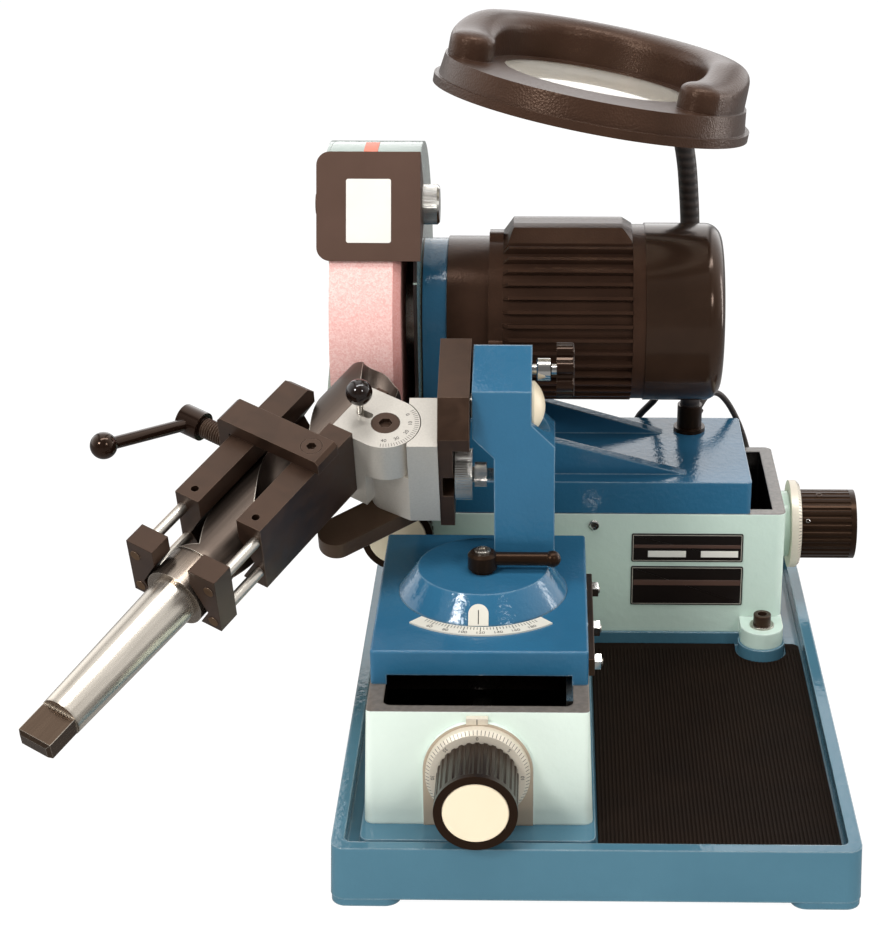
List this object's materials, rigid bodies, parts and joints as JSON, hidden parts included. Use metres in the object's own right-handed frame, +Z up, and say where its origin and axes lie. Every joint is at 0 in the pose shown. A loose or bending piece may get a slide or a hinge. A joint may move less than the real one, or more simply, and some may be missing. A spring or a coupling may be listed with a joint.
{
  "type": "drill bit grinder",
  "caption": "Bench grinder for twist drills: V-holder swinging on a swivel column and cross slide before a motor-driven wheel with guard, eye shield and magnifier lamp, on a tray with a mat.",
  "frame": {"origin": "middle of the tray's footprint, on the bench", "axes": "+X to the operator's right, along the motor's shaft; +Y to the back; +Z up"},
  "size_m": [0.5223, 0.5069, 0.4714],
  "materials": {
    "tray_blue": "gloss enamel on cast iron",
    "casting_blue": "gloss enamel on cast iron",
    "casting_mint": "gloss enamel on cast iron",
    "guard_mint": "enamel on sheet steel",
    "mat_rubber": "ribbed matt",
    "steel": "ground",
    "chrome": "polished",
    "black_oxide": "black oxide",
    "dial_silver": "satin anodised",
    "block_silver": "satin",
    "black_plastic": "moulded phenolic",
    "cream_plastic": "moulded",
    "handle_brown": "dark lacquer",
    "motor_black": "black lacquer on cast alloy",
    "cowl_black": "black lacquer on sheet steel",
    "fan_plastic": "moulded",
    "wheel_pink": "bonded abrasive",
    "shield_black": "black lacquer on sheet steel",
    "lamp_plastic": "textured moulding",
    "lens_glass": "polished",
    "tube_white": "frosted",
    "neck_rubber": "ribbed sleeve",
    "cord_rubber": "matt",
    "scale_white": "white lacquer"
  },
  "bodies": {
    "base": {"base_tray": "tray_blue", "rubber_mat": "mat_rubber", "front_slide_base": "casting_mint", "gib_strip": "steel", "rear_slide_base": "casting_mint", "cable_glands": "black_plastic"},
    "front_feed": {"front_feed_screw": "steel", "front_dial": "dial_silver", "front_knob": "black_plastic", "front_knob_cap": "cream_plastic"},
    "cross_slide": {"front_slide": "casting_blue", "turret_scale": "scale_white"},
    "turret": {"swivel_column": "casting_blue", "pivot_cover": "cream_plastic"},
    "turret_lever": {"turret_lever": "black_plastic"},
    "lock": {"lock_sleeve": "chrome", "star_knob": "black_plastic"},
    "stop": {"stop_screw": "chrome"},
    "swing": {"swing_arm": "black_oxide", "swing_pin": "steel", "angle_bracket": "block_silver", "swing_handle": "handle_brown"},
    "swivel": {"swivel_block": "block_silver", "swivel_screw": "black_oxide"},
    "index_pin": {"index_pin": "black_plastic"},
    "holder": {"right_v_bar": "black_oxide", "clamp_bridge": "black_oxide", "bridge_screw": "black_oxide", "drill_bit": "steel"},
    "jaw": {"left_v_bar": "black_oxide"},
    "clamp_lever": {"clamp_lever": "black_plastic"},
    "right_stop": {"right_stop": "black_oxide"},
    "left_stop": {"left_stop": "black_oxide"},
    "carriage": {"motor_carriage": "casting_blue", "motor_front_shield": "motor_black", "motor_body": "motor_black", "motor_rear_shield": "motor_black", "fan_cowl": "cowl_black", "motor_bearings": "steel", "wheel_guard": "guard_mint", "guard_cover": "guard_mint", "lamp_post": "black_plastic", "motor_cord": "cord_rubber", "lamp_cord": "cord_rubber"},
    "rear_feed": {"rear_feed_screw": "steel", "rear_dial": "dial_silver", "rear_knob": "black_plastic", "rear_knob_cap": "cream_plastic"},
    "spindle": {"motor_rotor": "steel", "motor_fan": "fan_plastic", "grinding_wheel": "wheel_pink", "wheel_flanges": "steel"},
    "shield": {"guard_shield": "shield_black"},
    "shield_nut": {"shield_nut": "chrome"},
    "gooseneck": {"gooseneck": "neck_rubber"},
    "lamp": {"lamp_head": "lamp_plastic", "lamp_lens": "lens_glass", "lamp_tube": "tube_white"},
    "carriage_lock": {"carriage_lock": "black_plastic", "carriage_lock_cap": "cream_plastic"}
  },
  "joints": [
    {"name": "front_feed_turn", "type": "hinge", "parent": "base", "child": "front_feed", "pos_m": [-0.0715, -0.1845, 0.07], "axis": [0, 1, 0], "range_deg": [0, 1800]},
    {"name": "cross_feed", "type": "slide", "parent": "base", "child": "cross_slide", "axis": [0, 1, 0], "range_m": [-0.02, 0]},
    {"name": "turret_swivel", "type": "hinge", "parent": "cross_slide", "child": "turret", "pos_m": [-0.0715, -0.06, 0.132], "axis": [0, 0, 1], "range_deg": [0, 20]},
    {"name": "turret_clamp", "type": "hinge", "parent": "turret", "child": "turret_lever", "pos_m": [-0.0715, -0.0675, 0.1485], "axis": [0, 0, 1], "range_deg": [-150, 4]},
    {"name": "lock_turn", "type": "hinge", "parent": "turret", "child": "lock", "pos_m": [-0.0404, -0.018, 0.2677], "axis": [1, 0, 0], "range_deg": [-180, 180]},
    {"name": "stop_turn", "type": "hinge", "parent": "turret", "child": "stop", "pos_m": [-0.0643, -0.045, 0.206], "axis": [1, 0, 0], "range_deg": [-180, 180]},
    {"name": "grinding_swing", "type": "hinge", "parent": "turret", "child": "swing", "pos_m": [-0.0902, -0.035, 0.2493], "axis": [1, 0, 0], "range_deg": [-8, 4]},
    {"name": "holder_swivel", "type": "hinge", "parent": "swing", "child": "swivel", "pos_m": [-0.13264, -0.04152, 0.21829], "axis": [0, -0.3907, 0.9205], "range_deg": [0, 20]},
    {"name": "index_pin_slide", "type": "slide", "parent": "swivel", "child": "index_pin", "axis": [0.8572, -0.4741, -0.2012], "range_m": [0, 0.0065]},
    {"name": "holder_slide", "type": "slide", "parent": "swivel", "child": "holder", "axis": [-0.515, -0.789, -0.3349], "range_m": [0, 0.015]},
    {"name": "jaw_slide", "type": "slide", "parent": "holder", "child": "jaw", "axis": [-0.8572, 0.4741, 0.2012], "range_m": [0, 0.0015]},
    {"name": "clamp_turn", "type": "hinge", "parent": "jaw", "child": "clamp_lever", "pos_m": [-0.25006, -0.03832, 0.23486], "axis": [0.8572, -0.4741, -0.2012], "range_deg": [0, 308]},
    {"name": "right_stop_slide", "type": "slide", "parent": "holder", "child": "right_stop", "axis": [-0.515, -0.789, -0.3349], "range_m": [-0.01, 0.015]},
    {"name": "left_stop_slide", "type": "slide", "parent": "jaw", "child": "left_stop", "axis": [-0.515, -0.789, -0.3349], "range_m": [-0.01, 0.015]},
    {"name": "rear_feed_turn", "type": "hinge", "parent": "base", "child": "rear_feed", "pos_m": [0.145, 0.127, 0.094], "axis": [1, 0, 0], "range_deg": [-900, 900]},
    {"name": "carriage_feed", "type": "slide", "parent": "base", "child": "carriage", "axis": [1, 0, 0], "range_m": [-0.01, 0.01]},
    {"name": "spindle_spin", "type": "hinge", "parent": "carriage", "child": "spindle", "pos_m": [-0.12, 0.127, 0.257], "axis": [1, 0, 0], "continuous": true},
    {"name": "shield_lift", "type": "hinge", "parent": "carriage", "child": "shield", "pos_m": [-0.15, 0.09, 0.345], "axis": [1, 0, 0], "range_deg": [-25, 0]},
    {"name": "shield_nut_turn", "type": "hinge", "parent": "shield", "child": "shield_nut", "pos_m": [-0.112, 0.09, 0.345], "axis": [1, 0, 0], "range_deg": [-180, 180]},
    {"name": "neck_turn", "type": "hinge", "parent": "carriage", "child": "gooseneck", "pos_m": [0.0738, 0.166, 0.165], "axis": [0, 0, 1], "range_deg": [-15, 15]},
    {"name": "lamp_tilt", "type": "hinge", "parent": "gooseneck", "child": "lamp", "pos_m": [0.06627, 0.20538, 0.38656], "axis": [0.9826, 0, -0.1857], "range_deg": [-15, 15]},
    {"name": "carriage_lock_turn", "type": "hinge", "parent": "base", "child": "carriage_lock", "pos_m": [-0.135, 0.067, 0.114], "axis": [0, 1, 0], "range_deg": [-90, 90]}
  ],
  "couplings": [
    {"joint": "front_feed_turn", "follows": "cross_feed", "rad_per_m": -1570.8},
    {"joint": "rear_feed_turn", "follows": "carriage_feed", "rad_per_m": -1570.8},
    {"joint": "clamp_turn", "follows": "jaw_slide", "rad_per_m": 3583}
  ]
}
